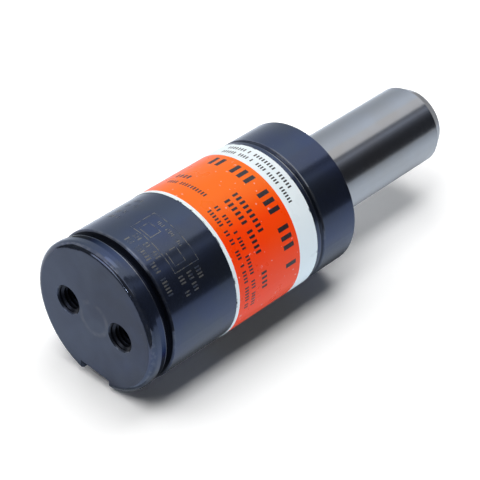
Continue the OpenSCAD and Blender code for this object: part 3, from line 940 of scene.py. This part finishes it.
def end_card(stage, card):
    """An upright card beyond the base or the rod, seen only in reflections."""
    up, across = stage_axes(stage)
    middle = across * (sum(card.across) / 2) + up * (sum(card.above) / 2) + AXIS * card.height
    plane = stage_plane(
        card.name, middle, across * ((card.across[1] - card.across[0]) / 2),
        up * ((card.above[1] - card.above[0]) / 2),
        card_finish(card.name, ((0.0, card.level), (1.0, card.level)), (1, 1, 1)),
    )
    seen_only_by(plane, "glossy")


def build_world(stage, up):
    """White where it is seen or mirrored, and a softer light elsewhere."""
    world = bpy.data.worlds.new("studio")
    world.use_nodes = True
    bpy.context.scene.world = world
    tree = world.node_tree
    tree.nodes.clear()
    rays = add(tree, "ShaderNodeLightPath").outputs
    mirrored = calc(tree, "MAXIMUM", rays["Is Glossy Ray"], rays["Is Transmission Ray"])
    shown = calc(tree, "MAXIMUM", rays["Is Camera Ray"], mirrored)
    shown = calc(tree, "MULTIPLY", shown, calc(tree, "LESS_THAN", rays["Diffuse Depth"], 0.5))
    direction = add(tree, "ShaderNodeTexCoord").outputs["Generated"]
    height = dot(tree, direction, up)
    below = [stage.ambient_down * part for part in stage.ambient_tint]
    above = [stage.ambient_up] * 3
    ambient = mix(tree, ramp(tree, height, -0.3, 0.0), below, above)
    ambient = mix(tree, rays["Is Diffuse Ray"], (0, 0, 0), ambient)
    sky = mix(tree, shown, ambient, (1, 1, 1))
    light = add(tree, "ShaderNodeBackground", {"Color": sky, "Strength": 1.0})
    add(tree, "ShaderNodeOutputWorld", {"Surface": light.outputs[0]})


def build_lamp(name, stage):
    """A long lamp that faces the spring from its angle, and that mirrors don't show."""
    light = bpy.data.lights.new(name, "AREA")
    light.shape = "RECTANGLE"
    light.size = getattr(stage, name + "_width")
    light.size_y = stage.lamp_length
    light.energy = getattr(stage, name + "_power")
    lamp = bpy.data.objects.new(name, light)
    bpy.context.scene.collection.objects.link(lamp)
    up, across = stage_axes(stage)
    turn = math.radians(LAMP_DEGREES[name])
    outward = up * math.cos(turn) + across * math.sin(turn)
    placed = Matrix((AXIS.cross(outward), AXIS, outward)).transposed().to_4x4()
    placed.translation = outward * stage.lamp_distance + AXIS * (ROD_TOP / 2 - stage.lamp_forward)
    lamp.matrix_world = placed
    lamp.visible_glossy = False
    lamp.visible_camera = False


def build_camera(stage):
    """The camera that the photograph was taken from, without depth of field."""
    data = bpy.data.cameras.new("camera")
    data.lens = stage.lens
    data.sensor_width = 36
    data.dof.use_dof = False
    camera = bpy.data.objects.new("camera", data)
    bpy.context.scene.collection.objects.link(camera)
    flat = math.cos(stage.elevation)
    back = Vector((
        math.sin(stage.azimuth) * flat, -math.cos(stage.azimuth) * flat, math.sin(stage.elevation)
    ))
    turn = (-back).to_track_quat("-Z", "Y").to_matrix() @ Matrix.Rotation(stage.roll, 3, "Z")
    placed = turn.to_4x4()
    placed.translation = Vector(stage.target) + back * stage.distance
    camera.matrix_world = placed
    bpy.context.scene.camera = camera


class DIESPRING_OT_stage(bpy.types.Operator):
    """Sets up the camera, the white floor, the light and the grey cards that the metal mirrors"""

    bl_idname = "diespring.stage"
    bl_label = "Build the stage"

    def execute(self, context):
        stage = context.scene.die_spring_stage
        up, across = stage_axes(stage)
        middle = AXIS * (ROD_TOP / 2)
        build_camera(stage)
        build_world(stage, up)
        for name in LAMP_DEGREES:
            build_lamp(name, stage)
        size = stage.floor_size
        floor = stage_plane(
            "floor", middle - up * LABEL_R, across * size, AXIS * size, floor_finish(stage.floor_level)
        )
        seen_only_by(floor, "camera")
        side_card("dark_card", stage, DARK_STOPS, DARK_TINT)
        side_card("left_card", stage, LEFT_STOPS, LEFT_TINT, span=(-0.02, 1.3))
        side_card("floor_card", stage, FAR_FLOOR_STOPS, FLOOR_TINT)
        near_floor(stage, (3, 200), BODY_FLOOR_STOPS, ROD_FLOOR_STOPS)
        on_floor = stage.card_distance - LABEL_R - FLOOR_DROP
        # Painted contact shadow on the floor at the base's end, seen only in reflections.
        side_card("front_floor", stage, FRONT_FLOOR_SHADOW_STOPS, FLOOR_TINT, on_floor, (-0.003, 0.003))
        side_card("overhead_card", stage, OVERHEAD_STOPS, nearer=0.05, span=(-0.10, 0.24))
        for card in END_CARDS:
            end_card(stage, card)
        context.scene.view_settings.view_transform = "Standard"
        return {"FINISHED"}


class DIESPRING_PT_panel(bpy.types.Panel):
    """The steps that finish the die spring, in order"""

    bl_idname = "DIESPRING_PT_panel"
    bl_label = "Die spring"
    bl_space_type = "VIEW_3D"
    bl_region_type = "UI"
    bl_category = "Die spring"

    def draw(self, context):
        for operator in OPERATORS:
            self.layout.operator(operator.bl_idname)
        for group in (getattr(context.scene, name) for name in GROUPS):
            box = self.layout.box()
            for name in group.__annotations__:
                box.prop(group, name)


OPERATORS = (
    DIESPRING_OT_finish_cylinder,
    DIESPRING_OT_finish_rod,
    DIESPRING_OT_finish_inner,
    DIESPRING_OT_label,
    DIESPRING_OT_laser_mark,
    DIESPRING_OT_threads,
    DIESPRING_OT_valve_coil,
    DIESPRING_OT_stage,
)
GROUPS = {
    "die_spring_finish": DieSpringFinish,
    "die_spring_sizes": DieSpringSizes,
    "die_spring_stage": DieSpringStage,
}


def register():
    for cls in (*GROUPS.values(), *OPERATORS, DIESPRING_PT_panel):
        bpy.utils.register_class(cls)
    for name, group in GROUPS.items():
        setattr(bpy.types.Scene, name, PointerProperty(type=group))


def unregister():
    for name in GROUPS:
        delattr(bpy.types.Scene, name)
    for cls in (DIESPRING_PT_panel, *reversed(OPERATORS), *reversed(GROUPS.values())):
        bpy.utils.unregister_class(cls)


def main():
    register()
    bpy.ops.diespring.finish_cylinder()
    bpy.ops.diespring.finish_rod()
    bpy.ops.diespring.finish_inner()
    bpy.ops.diespring.label()
    bpy.ops.diespring.laser_mark()
    bpy.ops.diespring.threads()
    bpy.ops.diespring.valve_coil()
    bpy.ops.diespring.stage()


if __name__ == "__main__":
    main()
